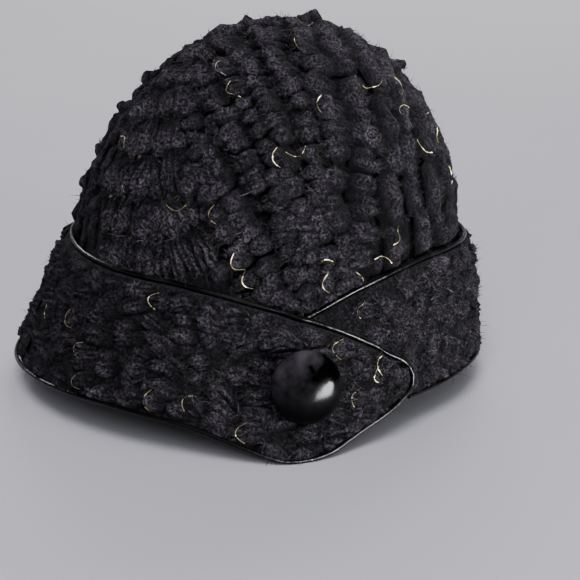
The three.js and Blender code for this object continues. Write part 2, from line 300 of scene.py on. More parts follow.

# Ground cloth under the puffs: its grid, how deep it lies, how it swells and how dark it is painted, as
# painted shade under the puffs.
GROUND_AROUND = 240
GROUND_ROWS_OUTSIDE = 72
GROUND_ROWS_INSIDE = 30
GROUND_TOP = DOME_ARC - 0.8
GROUND_SINK = 1.5
GROUND_RIPPLE = 0.3
SHOWN_MARGIN = 1
CROWN_GROUND_PAINTED_SHADING = 0.28
BAND_STEPS = 440
BAND_OUTER = [0.0, 0.02, *np.linspace(0.05, 0.95, 26), 0.98, 1.0]
BAND_INNER_ROWS = 10
BAND_EDGE_POWER = 6
BAND_SWELL = 0.5
BAND_RIPPLE = 0.35
BAND_EDGE_SINK = 0.9
BAND_GROUND_PAINTED_SHADING = 0.45

# Puffs with a metal thread round the free end, near these pixels of the photograph.
CROWN_THREADS = [
    (217, 69), (226, 90), (288, 48), (302, 32), (312, 105), (306, 126), (297, 141), (268, 157),
    (285, 157), (203, 212), (213, 242), (227, 271), (243, 289), (129, 148), (161, 219), (364, 88),
    (390, 93), (389, 110), (430, 118), (434, 137), (421, 155), (431, 176), (437, 172), (406, 241),
    (382, 250), (323, 262), (314, 278), (358, 286),
]
BRIM_THREADS = [
    (73, 322), (77, 352), (82, 376), (153, 300), (42, 311), (151, 396), (184, 404), (223, 421),
    (362, 315), (318, 333), (374, 366), (369, 383), (347, 385),
]
THREAD_RADIUS = 0.15
THREAD_TWIST = (1.15, 0.7)
THREAD_SIDES = 6
THREAD_STEP = 0.45
THREAD_LIFT = 0.45
THREAD_JUMP = 3.0
THREAD_POINTS = 21
LEAST_POINTS = 7
THREAD_SHARE = 0.96
THREAD_SPAN = 10.0
THREAD_REACH = 0.95
THREAD_DEPTH = 0.36
THREAD_SMOOTHING = 7
THREAD_APART = 4.5
HIDDEN_THREAD_SHARE = 0.03
RAY_LENGTH = 12
FACING_FROM = 0.05

# Painted light and shade round the band: angles, and how much lighter or darker the band's cloth is
# painted there.
PAINTED_LIGHT_ANGLES = (60, 110, 150, 270, 340, 430)
PAINTED_LIGHT_TONES = (1.7, 1.7, 1.0, 0.85, 0.66, 1.34)

# The floor, in metres.
FLOOR_RADIUS = 1.9
FLOOR_BEND = 2.2
WALL_HEIGHT = 2.4
BEND_STEPS = 12
FLOOR_SIDES = 96

# Loose fibres: how many and how combed, their sizes, the crests that they grow on, and how they
# stand and bend.
CROWN_FUZZ = (64000, 0.8)
BRIM_FUZZ = (50000, 0.2)
FIBRE_HALF_WIDTH = 0.16
FIBRE_LENGTH = 2.3
HAIR_HALF_WIDTH = 0.07
HAIR_LENGTH = 3.8
HAIR_SHARE = 0.02
GROWS = (0.25, 0.7)
STANDING = (0.05, 0.5)
LOOSENESS = 0.6
LENGTH_SHAPE = 3.0
ROOT_DEPTH = 0.2
BEND_AT = 0.55
BEND_JITTER = 0.12
BEND_WIDTH = 0.8
TIP_JITTER = 0.35

# Materials: colours, and the stops of ramps, each a place and a colour or a grey.
CLOTH_DARK = (0.002, 0.002, 0.003)
CROWN_LIGHT = (0.042, 0.037, 0.043)
BAND_LIGHT = (0.047, 0.041, 0.048)
SHEEN_TINT = (0.8, 0.76, 0.9, 1)
# Painted shade and light: tones by the painted shading share, dark in the folds between puffs and light
# on their crests.
CROWN_PAINTED_SHADING_TONES = [(0.2, 0.08), (0.62, 0.58), (1.0, 1.7)]
BAND_PAINTED_SHADING_TONES = [(0.2, 0.08), (0.55, 0.52), (1.0, 1.55)]
SMALL_PATCHES = [(0.38, (0.66, 0.64, 0.66)), (0.62, 1.34)]
BROAD_PATCHES = [(0.38, 0.74), (0.62, (1.25, 1.23, 1.26))]
FIBRE_TONES = [(0.0, 0.004), (0.5, (0.022, 0.019, 0.022)), (1.0, (0.095, 0.084, 0.095))]
CLUMP_TONES = [(0.38, 0.4), (0.62, 1.7)]
# Painted shade and light for the loose fibres, by the same share.
FIBRE_PAINTED_SHADING_TONES = [(0.3, 0.12), (0.68, 0.6), (1.0, 1.6)]
# Painted reflection: a cloudy grey painted on the upper parts of the piping and button, by height in
# metres, standing in for the sky's reflection.
PAINTED_REFLECTION_BY_HEIGHT = [(0.03, 0.05), (0.048, 1.0)]
PIPING_PAINTED_REFLECTION = 0.006
BUTTON_PAINTED_REFLECTION = (0.036, 0.032, 0.038)
THREAD_TONES = [(0.46, (0.36, 0.31, 0.12)), (0.54, (1.0, 0.93, 0.62))]
FLOOR_TONES = [(0.3, (0.3, 0.296, 0.324)), (0.7, (0.318, 0.314, 0.343))]
SKY = {"Color": (0.8, 0.8, 0.88, 1), "Strength": 0.34}

# Lamps: name, place and target in metres, size, power, colour, whether they light matt surfaces
# and glossy ones, and their roll in degrees if they have one.
LOW = (0, 0, 0.06)
MIDDLE = (0, 0, 0.09)
LAMPS = [
    ("side", (1.5, 0.36, 0.15), LOW, (0.4, 0.28), 24, (0.97, 0.98, 1.0), True, False),
    ("window", (1.5, 0.26, 0.12), LOW, (0.8, 0.36), 170, (0.96, 0.98, 1.0), False, True, 25),
    ("key", (0.75, -0.95, 2.0), MIDDLE, (0.9, 0.9), 62, (0.97, 0.97, 1.0), True, False),
    ("sky", (1.3, -0.5, 2.2), MIDDLE, (2.6, 2.0), 20, (0.97, 0.97, 1.0), True, True),
    ("front", (0.9, -1.65, 1.5), MIDDLE, (1.2, 1.2), 16, (0.95, 0.96, 1.0), True, False),
    ("back", (-1.2, 1.4, 1.3), MIDDLE, (1.5, 1.2), 60, (1.0, 0.98, 0.96), True, False),
    ("gleam", (-1.75, 0.1, 1.0), MIDDLE, (1.0, 0.5), 20, (1.0, 1.0, 1.0), False, True),
]

rng = np.random.default_rng(SEED)


# Small helpers.

def smoothstep(x, low, high):
    t = np.clip((np.asarray(x, float) - low) / (high - low), 0, 1)
    return t * t * (3 - 2 * t)


def size_of(v):
    return np.linalg.norm(v, axis=-1)


def unit(v):
    return v / np.maximum(size_of(v)[..., None], 1e-9)


def square_to(v, direction):
    """What is left of vectors without their parts along a direction of length 1."""
    return v - direction * (v * direction).sum(-1, keepdims=True)


def random_directions(count):
    return unit(rng.normal(size=(count, 3)))


def quarter_turn(steps):
    """Even steps of a quarter turn, in radians, without its start."""
    return [math.pi / 2 * step / steps for step in range(1, steps + 1)]


def bend_up(out, up, wide, high, steps):
    """Points of a profile that bends from level to upright, as distances out and up."""
    turns = quarter_turn(steps)
    return [(out + wide * math.sin(a), up + high * (1 - math.cos(a))) for a in turns]


def whole_turn(steps, turn=2 * math.pi):
    """Even steps of a whole turn, without its end."""
    return np.linspace(0, turn, steps, endpoint=False)


def make_ripple(wavelength):
    """A smooth random height field in space, about -1 to 1, with bumps of one wavelength."""
    directions = random_directions(RIPPLE_WAVES) * rng.uniform(*RIPPLE_SPREAD, (RIPPLE_WAVES, 1))
    turns = directions * 2 * math.pi / wavelength
    phases = rng.uniform(0, 2 * math.pi, RIPPLE_WAVES)
    share = math.sqrt(2 / RIPPLE_WAVES)
    return lambda points: np.sin(points @ turns.T + phases).sum(-1) * share * RIPPLE_HEIGHT


def make_warp(wavelength):
    """A smooth random push in space, about -1 to 1 each way."""
    ways = [make_ripple(wavelength) for _ in range(3)]
    return lambda points: np.stack([way(points) for way in ways], -1)


def from_table(angle, column):
    """One column of the band's table at any angles, with smooth joins between its rows."""
    table = np.array(BAND, float)
    knots = table[:, 0]
    values = table[:, BAND_COLUMNS.index(column)]
    before = [0, *range(len(BAND) - 1)]
    after = [*range(1, len(BAND)), -1]
    slopes = (values[after] - values[before]) / (knots[after] - knots[before])
    angle = np.asarray(angle, float)
    i = np.clip(np.searchsorted(knots, angle, side="right"), 1, len(knots) - 1)
    span = knots[i] - knots[i - 1]
    s = np.clip((angle - knots[i - 1]) / span, 0, 1)
    bent = values[i] != values[i - 1]
    start = values[i - 1] * (2 * s**3 - 3 * s**2 + 1)
    start = start + bent * slopes[i - 1] * span * (s**3 - 2 * s**2 + s)
    end = values[i] * (3 * s**2 - 2 * s**3) + bent * slopes[i] * span * (s**3 - s**2)
    return start + end


# The crown's surface.

LEANING_BACK = Matrix.Rotation(-math.radians(LEAN_BACK), 3, "X")
LEANING_SIDE = Matrix.Rotation(math.radians(LEAN_SIDE), 3, "Y")
LEAN = np.array(LEANING_BACK @ LEANING_SIDE)
AXIS = LEAN[:, 2]


def leaned(x, y, z):
    return np.stack(np.broadcast_arrays(x, y, z), -1) @ LEAN.T + AXIS_FOOT


def on_wall(angle, height, off):
    """A point on the leaning straight wall, by angle, height above the floor and distance off it."""
    foot = on_crown(angle, 0, off)
    return foot + ((height - foot[..., 2]) / AXIS[2])[..., None] * AXIS


def on_crown(angle, up, off=0.0):
    """A point of the crown, by angle, distance up its side from the dome's foot and distance off it."""
    a = np.radians(angle)
    e = np.arctan2(np.sin(a) / CROWN_HALF_WIDTH, np.cos(a) / CROWN_HALF_LENGTH)
    up = np.asarray(up, float)
    rise = (math.pi / 2) * np.maximum(up, 0) / DOME_ARC
    across = np.cos(rise)
    x = (CROWN_HALF_WIDTH + off) * across * np.sin(e)
    y = -(CROWN_HALF_LENGTH + off) * across * np.cos(e)
    return leaned(x, y, (DOME_HEIGHT + off) * np.sin(rise)) + np.minimum(up, 0)[..., None] * AXIS


def crown_axes(off=0.0):
    return np.array([CROWN_HALF_WIDTH + off, CROWN_HALF_LENGTH + off, DOME_HEIGHT + off])


def crown_place(points):
    """The angle, distance up and distance off the crown of points near it."""
    q = (points - AXIS_FOOT) @ LEAN
    scaled = q / crown_axes()
    scaled[..., 2] = np.maximum(scaled[..., 2], 0)
    reach = np.where(q[..., 2] > 0, size_of(q), size_of(q * [1, 1, 0]))
    off = reach * (1 - 1 / np.maximum(size_of(scaled), 1e-6))
    angle = np.degrees(np.arctan2(q[..., 0], -q[..., 1]))
    rise = np.arctan2(scaled[..., 2], size_of(scaled[..., :2]))
    up = np.where(q[..., 2] > 0, rise / (math.pi / 2) * DOME_ARC, q[..., 2])
    return angle, up, off


def crown_normal(points):
    q = (points - AXIS_FOOT) @ LEAN
    slope = q / crown_axes() ** 2
    slope[..., 2] = np.maximum(slope[..., 2], 0)
    return unit(slope @ LEAN.T)


def shown_top(angle):
    """The band's top edge that shows at an angle."""
    first = np.mod(angle, 360)
    under = from_table(first, "top")
    over = from_table(first + 360, "top")
    both = np.where(first + 360 > BAND_END, under, np.maximum(under, over))
    return np.where(first < BAND_START, over, both)


# The band's surface.

def cloth_at(angle):
    return UNDER_CLOTH + (CLOTH - UNDER_CLOTH) * smoothstep(angle, *THICKENS)


def cloth_rim(angle):
    return np.maximum(from_table(angle, "rim"), 0)


def cloth_top(angle):
    return from_table(angle, "top") - 2 * PIPING_RADIUS - GAP


def plain_inner(angle, height):
    rim = cloth_rim(angle)
    share = np.clip((height - rim) / (cloth_top(angle) - rim), 0, 1)
    out = from_table(angle, "flare") - cloth_at(angle)
    return out + (GAP - out) * share


def clear_of_under(angle, height):
    above = height - cloth_top(angle)
    climb = smoothstep(angle, *CLIMBS)
    step = 1 - smoothstep(above, *STEPS_IN)
    inner = plain_inner(np.maximum(angle, BAND_START), height)
    return climb * (inner + cloth_at(angle) * step + 2 * GAP)


def inner_off(angle, height):
    plain = plain_inner(angle, height)
    over = np.maximum(plain, clear_of_under(angle - 360.0, height))
    return np.where(np.asarray(angle) < 360, plain, over)


def on_band(angle, height, off=0.0):
    """A point on the band's outside, and any distance off it."""
    return on_wall(angle, height, inner_off(angle, height) + cloth_at(angle) + off)


def band_normal(angle, height):
    along = on_band(angle + 0.5, height) - on_band(angle - 0.5, height)
    above = on_band(angle, height + 0.5) - on_band(angle, height - 0.5)
    return unit(np.cross(along, above))


def hidden_by_flap(angle, height):
    """Whether a point of the under end lies behind the over flap."""
    reached = angle + 360 < BAND_END + FLAP_MARGIN
    return reached & (height < from_table(angle + 360, "top") + FLAP_MARGIN)


# Camera.

def camera_axes():
    """The camera's right, up and backward directions."""
    azimuth, elevation, roll = np.radians((CAMERA_AZIMUTH, CAMERA_ELEVATION, CAMERA_ROLL))
    back = np.array([
        math.sin(azimuth) * math.cos(elevation),
        -math.cos(azimuth) * math.cos(elevation),
        math.sin(elevation),
    ])
    level = np.array([math.cos(azimuth), math.sin(azimuth), 0.0])
    above = np.cross(back, level)
    right = level * math.cos(roll) + above * math.sin(roll)
    return right, np.cross(back, right), back


RIGHT, UP, BACK = camera_axes()


def linked(name, data):
    """A new object in the scene with its data."""
    thing = bpy.data.objects.new(name, data)
    bpy.context.scene.collection.objects.link(thing)
    return thing


def make_camera():
    data = bpy.data.cameras.new("camera")
    data.lens = FOCAL_PIXELS * SENSOR / IMAGE_SIZE
    data.sensor_width = SENSOR
    data.clip_end = 20
    camera = linked("camera", data)
    turn = Matrix(np.stack([RIGHT, UP, BACK], 1).tolist()).to_4x4()
    camera.matrix_world = Matrix.Translation(CAMERA_PLACE * MM) @ turn
    bpy.context.scene.camera = camera


def sight(pixel):
    """The direction from the camera through a pixel of the photograph."""
    across = (pixel[0] - IMAGE_SIZE / 2) / FOCAL_PIXELS
    down = (pixel[1] - IMAGE_SIZE / 2) / FOCAL_PIXELS
    return unit(RIGHT * across - UP * down - BACK)


def seen_at(points):
    """The photograph's pixels at which points show."""
    q = points - CAMERA_PLACE
    depth = -(q @ BACK)
    across = IMAGE_SIZE / 2 + FOCAL_PIXELS * (q @ RIGHT) / depth
    down = IMAGE_SIZE / 2 - FOCAL_PIXELS * (q @ UP) / depth
    return np.stack([across, down], -1)


def sight_on_crown(pixel, off=ROWS_OFF):
    """Where the line of sight through a pixel meets the crown, or its nearest point."""
    start = (CAMERA_PLACE - AXIS_FOOT) @ LEAN
    step = sight(pixel) @ LEAN
    for scale in (1 / crown_axes(off), np.array([1, 1, 0]) / crown_axes(off)):
        a = (step * scale) @ (step * scale)
        b = (start * scale) @ (step * scale)
        c = (start * scale) @ (start * scale) - 1
        travel = (-b - math.sqrt(max(b * b - a * c, 0))) / a
        meets = start + travel * step
        if meets[2] >= 0 or scale[2] == 0:
            return leaned(*meets)


# Rows of puffs. A row is a line of points with normals; puffs hang across it.

def resampled(values, knots, places):
    """Rows of three values, read between their knots at some places."""
    return np.stack([np.interp(places, knots, values[:, k]) for k in range(3)], -1)


def smooth_line(points, step=1.0):
    """The points of a smooth curve through some points, evenly spaced."""
    p = np.array(points, float)
    p = np.vstack([2 * p[0] - p[1], p, 2 * p[-1] - p[-2]])
    pieces = []
    for i in range(1, len(p) - 2):
        s = np.linspace(0, 1, CURVE_STEPS, endpoint=False)[:, None]
        a, b, c, d = p[i - 1], p[i], p[i + 1], p[i + 2]
        bend = (2 * a - 5 * b + 4 * c - d) * s**2 + (3 * b - a - 3 * c + d) * s**3
        pieces.append(0.5 * (2 * b + (c - a) * s + bend))
    line = np.vstack(pieces + [p[-2:-1]])
    run = np.concatenate([[0], np.cumsum(size_of(np.diff(line, axis=0)))])
    return resampled(line, run, np.arange(0, run[-1], step))


def puffs_on_row(line, normals, side, puff):
    """Puffs evenly along a row: where the sewn end is, its directions and its sizes."""
    count = max(int(round(len(line) / puff["pitch"])), 1)
    shift = rng.uniform(-PLACE_JITTER, PLACE_JITTER, count)
    at = (np.arange(count) + 0.5 + shift) * len(line) / count
    i = np.clip(at.astype(int), 1, len(line) - 2)
    along = unit(line[i + 1] - line[i - 1])
    outward = normals[i]
    across = unit(np.cross(along, outward)) * -side
    spread = puff["spread"]
    turn = np.radians(rng.normal(0, TURN_JITTER * spread, count))[:, None]
    lift = rng.normal(LIFT_MEAN, LIFT_JITTER, (count, 1))
    free = unit(across * np.cos(turn) + along * np.sin(turn) + outward * lift)
    length = puff["length"] * rng.uniform(1 - SHORTER * spread, 1 + LONGER * spread, count)
    moved = across * rng.normal(0, SHIFT_JITTER * spread, (count, 1))
    row = {
        "sewn": line[i] - free * length[:, None] + moved,
        "free": free,
        "out": outward,
        "length": length,
        "lumps": np.full(count, puff["lumps"]),
    }
    sizes = {**puff, "width": (len(line) / count) * PUFF_OVERLAP, "phase": 1}
    for key, limits in PUFF_RANGES.items():
        row[key] = sizes[key] * rng.uniform(*limits, count)
    # A random tone of each puff, which some rows scale further with painted shade or painted light.
    row["tone"] = DARKEST_PUFF + TONE_RANGE * row["phase"] / (2 * math.pi)
    return row


def along_puffs(puffs, share):
    """The points a share of the way along the puffs, from their sewn ends."""
    return puffs["sewn"] + puffs["free"] * puffs["length"][:, None] * share


def joined(rows):
    return {key: np.concatenate([row[key] for row in rows]) for key in rows[0]}


def chosen(puffs, keep):
    return {key: values[keep] for key, values in puffs.items()}


def crown_row(line, side, puff):
    return puffs_on_row(line, crown_normal(line), side, puff)


def smoothed_to_top(row):
    """The row's puffs, run together into a smooth ridge near the top."""
    _, up, _ = crown_place(row["sewn"])
    share = smoothstep(up, *SMOOTHS)
    for key, smooth in SMOOTH_PUFF.items():
        row[key] = row[key] * (1 - share) + smooth * share
    row["width"] *= 1 + SMOOTH_WIDENING * share
    return row


def front_rows():
    """The rows that the photograph shows, those of the front and then those of the flank."""
    fronts = len(FRONT_ROWS)
    for k, pixels in enumerate(FRONT_ROWS + FLANK_ROWS):
        side = RIGHTWARD if k < fronts else LEFTWARD
        outer = "front" if k < fronts else "flank"
        puff = PUFFS["middle" if k in (fronts - 1, fronts) else outer]
        line = smooth_line([sight_on_crown(pixel) for pixel in pixels])
        yield smoothed_to_top(crown_row(line, side, puff))


def level_rows():
    """Rows that run level across the front panel, with their free edges down."""
    for first, last, start, middle, end, thickness in LEVEL_ROWS:
        angles = np.linspace(first, last, LEVEL_POINTS)
        ups = np.interp(angles, (first, (first + last) / 2, last), (start, middle, end))
        points = on_crown(angles, ups)
        row = crown_row(smooth_line(points), RIGHTWARD, PUFFS["level"])
        row["height"] *= thickness
        # Painted light: the level rows are painted lighter.
        row["tone"] *= LEVEL_PAINTED_LIGHT
        yield row


def back_rows():
    """Upright rows of the flanks and the back, of different heights, facing away from the middle."""
    count = int((BACK_END - BACK_START) / BACK_SPACING)
    for k in range(count + 1):
        angle = BACK_START + (BACK_END - BACK_START) * k / count
        faces_left = angle < BACK_MIDDLE or angle > FACE_START
        side = LEFTWARD if faces_left else RIGHTWARD
        puff = PUFFS["back" if LEFT_FLANK_END < angle < RIGHT_FLANK_START else "flank"]
        ups = np.linspace(BACK_TOPS[k % len(BACK_TOPS)], BACK_FOOT, BACK_POINTS)
        lean = np.interp(angle, (LEAN_START, BACK_END), (0, FRONT_LEAN))
        line = smooth_line(on_crown(angle - lean * np.maximum(ups, 0), ups))
        row = crown_row(line, side, puff)
        # Painted shade: rows past FACE_START are painted darker.
        row["tone"] *= PAINTED_SHADE_TONE if angle > FACE_START else 1
        yield row


def top_rings():
    """Puffs round the very top, with their free ends outwards."""
    angles = np.linspace(0, 360, RING_POINTS)
    lines = [smooth_line(on_crown(angles, up)) for up in TOP_RINGS]
    return [crown_row(line, RIGHTWARD, PUFFS["top"]) for line in lines]


def outline_flaps():
    """Single flaps whose tips break the crown's outline in the photograph."""
    tips, feet, widths = zip(*OUTLINE_FLAPS)
    start, end = (
        np.array([sight_on_crown(pixel, 0.0) for pixel in pixels]) for pixels in (feet, tips)
    )
    out = crown_normal(end)
    along = end - start
    length = np.minimum(size_of(along), FLAP_LENGTH)
    free = unit(unit(square_to(along, out)) + FLAP_LIFT * out)
    sizes = {**FLAP_SHAPE, "width": widths, "length": length + FLAP_OVERHANG}
    flaps = {key: np.full(len(tips), size) for key, size in sizes.items()}
    directions = {"free": free, "out": unit(square_to(out, free))}
    return {**flaps, **directions, "sewn": end - free * length[:, None]}


def filler_rows():
    """Low puffs turned every way that fill what the rows leave bare."""
    for up in np.arange(*FILLER_UPS, FILLER_SPACING):
        reach = FILLER_RADIUS * math.cos(math.pi / 2 * max(up, 0) / DOME_ARC)
        count = int(2 * math.pi * reach / FILLER_SPACING)
        angles = whole_turn(count, 360) + rng.uniform(-FILLER_TURN, FILLER_TURN, count)
        line = on_crown(angles, up + rng.uniform(-FILLER_SHIFT, FILLER_SHIFT, count))
        row = crown_row(smooth_line(line), RIGHTWARD, PUFFS["filler"])
        turn = rng.uniform(0, 2 * math.pi, (len(row["length"]), 1))
        sideways = np.cross(row["out"], row["free"])
        row["free"] = unit(row["free"] * np.cos(turn) + sideways * np.sin(turn))
        # Painted shade: fillers lie in the gaps and are painted darker.
        row["tone"] *= FILLER_PAINTED_SHADE
        yield row


def crown_puffs():
    """All the crown's puffs, but for those that the band hides."""
    makers = (front_rows, level_rows, back_rows, top_rings, filler_rows)
    puffs = joined([row for make_rows in makers for row in make_rows()] + [outline_flaps()])
    belly = along_puffs(puffs, BELLY_AT)
    angle, _, _ = crown_place(belly)
    return chosen(puffs, belly[:, 2] > shown_top(angle) - HIDDEN_BELOW)


def band_puffs():
    """Upright rows of low puffs round the band, left out where the flap hides them."""
    rows = []
    for angle in np.arange(BAND_START + BAND_ROW_FROM, BAND_END - BAND_ROW_TO, BAND_ROW_SPACING):
        top, rim = float(cloth_top(angle)), float(cloth_rim(angle))
        heights = np.linspace(top - BAND_ROW_MARGIN, rim + BAND_ROW_MARGIN, BAND_ROW_POINTS)
        angles = angle + BAND_WAVE * np.sin(heights / BAND_WAVE_LENGTH + angle)
        line = on_band(angles, heights)
        normals = band_normal(angles, heights)
        even = smooth_line(line)
        shares = [np.linspace(0, 1, len(points)) for points in (line, even)]
        even_normals = unit(resampled(normals, *shares))
        row = puffs_on_row(even, even_normals, RIGHTWARD, PUFFS["brim"])
        middle = along_puffs(row, 0.5)
        row["angle"] = np.full(len(middle), angle)
        near = size_of(middle - button_frame()[0]) / BUTTON_RADIUS
        row["height"] *= 1 + np.exp(-(near / BUTTON_REACH) ** 2) * (angle > 360)
        rows.append(chosen(row, ~hidden_by_flap(row["angle"], middle[:, 2])))
    return joined(rows)


def puff_shape(puffs):
    """How far each puff's grid points lie across, along and above it, and its painted shading: painted
    shade towards its folds and painted light on its crest.
    """
    a = np.linspace(-1, 1, PUFF_STEPS_ACROSS + 1)[None, :, None]
    y, z = np.array(PUFF_LINE).T[:, None, None, :]
    p = {key: sizes.reshape(len(sizes), 1, -1) for key, sizes in puffs.items()}
    lean = rng.normal(0, PUFF_LEAN, (len(p["tone"]), 1, 1))
    waist = SEWN_END_WIDTH + (1 - SEWN_END_WIDTH) * np.minimum(y / WIDE_FROM, 1)
    dome = np.sqrt(np.clip(1 - np.abs(a) ** p["fullness"], 0, 1)) * (1 + lean * a)
    swell = z * dome * (1 + p["flutes"] * np.cos(p["folds"] * math.pi * a + p["phase"]))
    reach = y * (1 - p["rounding"] * np.abs(a) ** CORNER_POWER * y) * p["length"]
    # Painted shading: the share is low in the folds, where shade falls, and high on the crest.
    painted_shading = np.clip(swell, 0, 1) * p["tone"]
    return np.broadcast_arrays(a * waist * 0.5 * p["width"], reach, swell * p["height"], painted_shading)


def puff_mesh(puffs, warp, ripples):
    """The vertices, faces and painted shading shares of all puffs, as grids bent over their middle
    lines.
    """
    across, along, above, painted_shading = puff_shape(puffs)
    sewn, free, out = (puffs[key][:, None, None, :] for key in ("sewn", "free", "out"))
    points = sewn + across[..., None] * np.cross(out, free) + along[..., None] * free
    points = points + above[..., None] * out
    share = np.minimum(above / UNEVEN_FROM, 1)
    points = points + warp(points) * WARP_SIZE * share[..., None]
    for ripple, size in zip(ripples, RIPPLE_SIZES):
        swell = ripple(points) * size * share * puffs["lumps"][:, None, None]
        points = points + swell[..., None] * out
    count, columns, steps = above.shape
    facing_out = grid_faces(columns, steps, False)[:, [0, 3, 2, 1]]
    faces = (np.arange(count) * columns * steps)[:, None, None] + facing_out[None]
    return points.reshape(-1, 3), faces.reshape(-1, 4), painted_shading.reshape(-1)


def settle_on_crown(points):
    """Bends puff points down with the crown's curve, and clear of the band."""
    angle, up, off = crown_place(points)
    above = points[:, 2] - shown_top(angle)
    limit = EDGE_RISE + np.maximum(above - EDGE_MARGIN, 0) * EDGE_SLOPE
    capped = np.minimum(off - PUFF_SINK, limit)
    return points - crown_normal(points) * (off - capped)[:, None]


# Meshes.

def make_mesh(name, points, faces, material, smooth=True):
    mesh = bpy.data.meshes.new(name)
    corners = faces.tolist() if isinstance(faces, np.ndarray) else faces
    mesh.from_pydata(points.tolist(), [], corners)
    mesh.materials.append(material)
    if smooth:
        mesh.shade_smooth()
    return mesh


def make_piece(name, points, faces, material, smooth=True, painted_shading=None):
    """A piece of the hat from points in millimetres, with the painted shading (painted shade in folds,
    painted light on crests) that its cloth shows.
    """
    mesh = make_mesh(name, points * MM, faces, material, smooth)
    if painted_shading is not None:
        shares = mesh.attributes.new("painted_shading", "FLOAT", "POINT")
        shares.data.foreach_set("value", np.full(len(points), painted_shading))
    piece = linked(name, mesh)
    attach(piece, "root")
    return piece


def grid_faces(rows, columns, closed):
    """The quads of a grid of points, whose last column joins its first if it is closed."""
    quads_across = columns if closed else columns - 1
    i, j = np.meshgrid(np.arange(rows - 1), np.arange(quads_across), indexing="ij")
    near = (i * columns + j).ravel()
    far = (i * columns + (j + 1) % columns).ravel()
    return np.stack([near, far, far + columns, near + columns], -1)


def closed_grid(rings, sides):
    """The faces of a tube of rings, closed at both ends."""
    faces = grid_faces(rings, sides, True).tolist()
    last = (rings - 1) * sides
    return faces + [list(range(sides)), [last + j for j in reversed(range(sides))]]


def make_puff_piece(name, points, faces, painted_shading, keep, material):
    """A piece of some of the puffs, each of which has the same number of vertices and faces."""
    count = len(keep)
    points = points.reshape(count, -1, 3)[keep]
    painted_shading = painted_shading.reshape(count, -1)[keep].reshape(-1)
    first = np.arange(len(points)) * points.shape[1]
    faces = (first[:, None, None] + faces[:len(faces) // count]).reshape(-1, 4)
    make_piece(name, points.reshape(-1, 3), faces, material, painted_shading=painted_shading)


def make_crown_cloth(material, ripple):
    """The crown's ground cloth: a rippled outside, a plain inside and the hem between them."""
    around = GROUND_AROUND
    angles = whole_turn(around, 360)
    rings = []
    for up in np.linspace(-HEM_DROP, GROUND_TOP, GROUND_ROWS_OUTSIDE):
        ring = on_crown(angles, up)
        shows = ring[:, 2] > shown_top(angles) + SHOWN_MARGIN
        swell = np.where(shows, GROUND_RIPPLE * ripple(ring) - GROUND_SINK, -GROUND_SINK)
        rings.append(ring + crown_normal(ring) * swell[:, None])
    for up in np.linspace(GROUND_TOP, -HEM_DROP, GROUND_ROWS_INSIDE):
        rings.append(on_crown(angles, up, -WALL))
    points = np.vstack(rings)
    faces = grid_faces(len(rings), around, True).tolist()
    last = (len(rings) - 1) * around
    faces += [[last + j, last + (j + 1) % around, (j + 1) % around, j] for j in range(around)]
    piece = make_piece("crown_cloth", points, faces, material, painted_shading=CROWN_GROUND_PAINTED_SHADING)
    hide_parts("crown")


def settle_on_band(points, puffs_angle):
    """Keeps the band's puffs inside its edges, thinning towards them."""
    angle, _, _ = crown_place(points)
    angle = puffs_angle + np.mod(angle - puffs_angle + 180, 360) - 180
    rim, top = cloth_rim(angle) + RIM_MARGIN, cloth_top(angle) - TOP_MARGIN
    height = points[:, 2]
    inside = np.clip(height, rim, np.maximum(top, rim))
    moved = points + ((inside - height) / AXIS[2])[:, None] * AXIS
    surface = on_band(angle, inside)
    out = unit(square_to(surface - AXIS_FOOT, AXIS))
    tab_edge = (BAND_END - TAB_MARGIN - angle) * MM_PER_DEGREE
    edge = np.minimum(np.minimum(inside - rim, top - inside), tab_edge)
    off = ((moved - surface) * out).sum(1)
    limit = BAND_EDGE_RISE + np.maximum(edge, 0) * BAND_EDGE_SLOPE
    return moved - out * np.maximum(off - limit, 0)[:, None]


def make_band_cloth(material, ripple):
    """The band's ground cloth: a closed strip with a padded outside."""
    angles = np.linspace(BAND_START, BAND_END, BAND_STEPS)
    rim, top = cloth_rim(angles), cloth_top(angles)
    rings = []
    for share in BAND_OUTER:
        height = rim + (top - rim) * share
        edge = 1 - np.abs(2 * share - 1) ** BAND_EDGE_POWER
        points = on_band(angles, height)
        open_air = ~hidden_by_flap(angles, height)
        padding = open_air * edge * (BAND_SWELL + BAND_RIPPLE * ripple(points))
        swell = padding - BAND_EDGE_SINK * (1 - edge)
        rings.append(points + band_normal(angles, height) * swell[:, None])
    for share in np.linspace(1, 0, BAND_INNER_ROWS):
        height = rim + (top - rim) * share
        rings.append(on_wall(angles, height, inner_off(angles, height)))
    points = np.stack(rings, 1).reshape(-1, 3)
    faces = closed_grid(BAND_STEPS, len(rings))
    piece = make_piece("brim_cloth", points, faces, material, painted_shading=BAND_GROUND_PAINTED_SHADING)
    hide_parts("brim")


def piping_path():
    """The piping's middle line: along the band's top edge, round the tab and back along the rim."""
    angle = np.arange(PIPING_START, BAND_END - PIPING_SPACING, PIPING_SPACING)
    height = cloth_top(angle) + GAP + PIPING_RADIUS
    upper = on_wall(angle, height, inner_off(angle, height) + PIPING_RADIUS + GAP)
    angle, height, out = np.array(TAB_TIP).T
    tip = on_wall(angle, height, inner_off(BAND_END, height) + cloth_at(BAND_END) + out)
    angle = np.arange(BAND_END, RIM_PIPING_START, -PIPING_SPACING)
    lower = on_band(angle, cloth_rim(angle) + PIPING_RADIUS, GAP + PIPING_RADIUS)
    return smooth_line(np.vstack([upper, tip, lower]), PIPING_STEP)


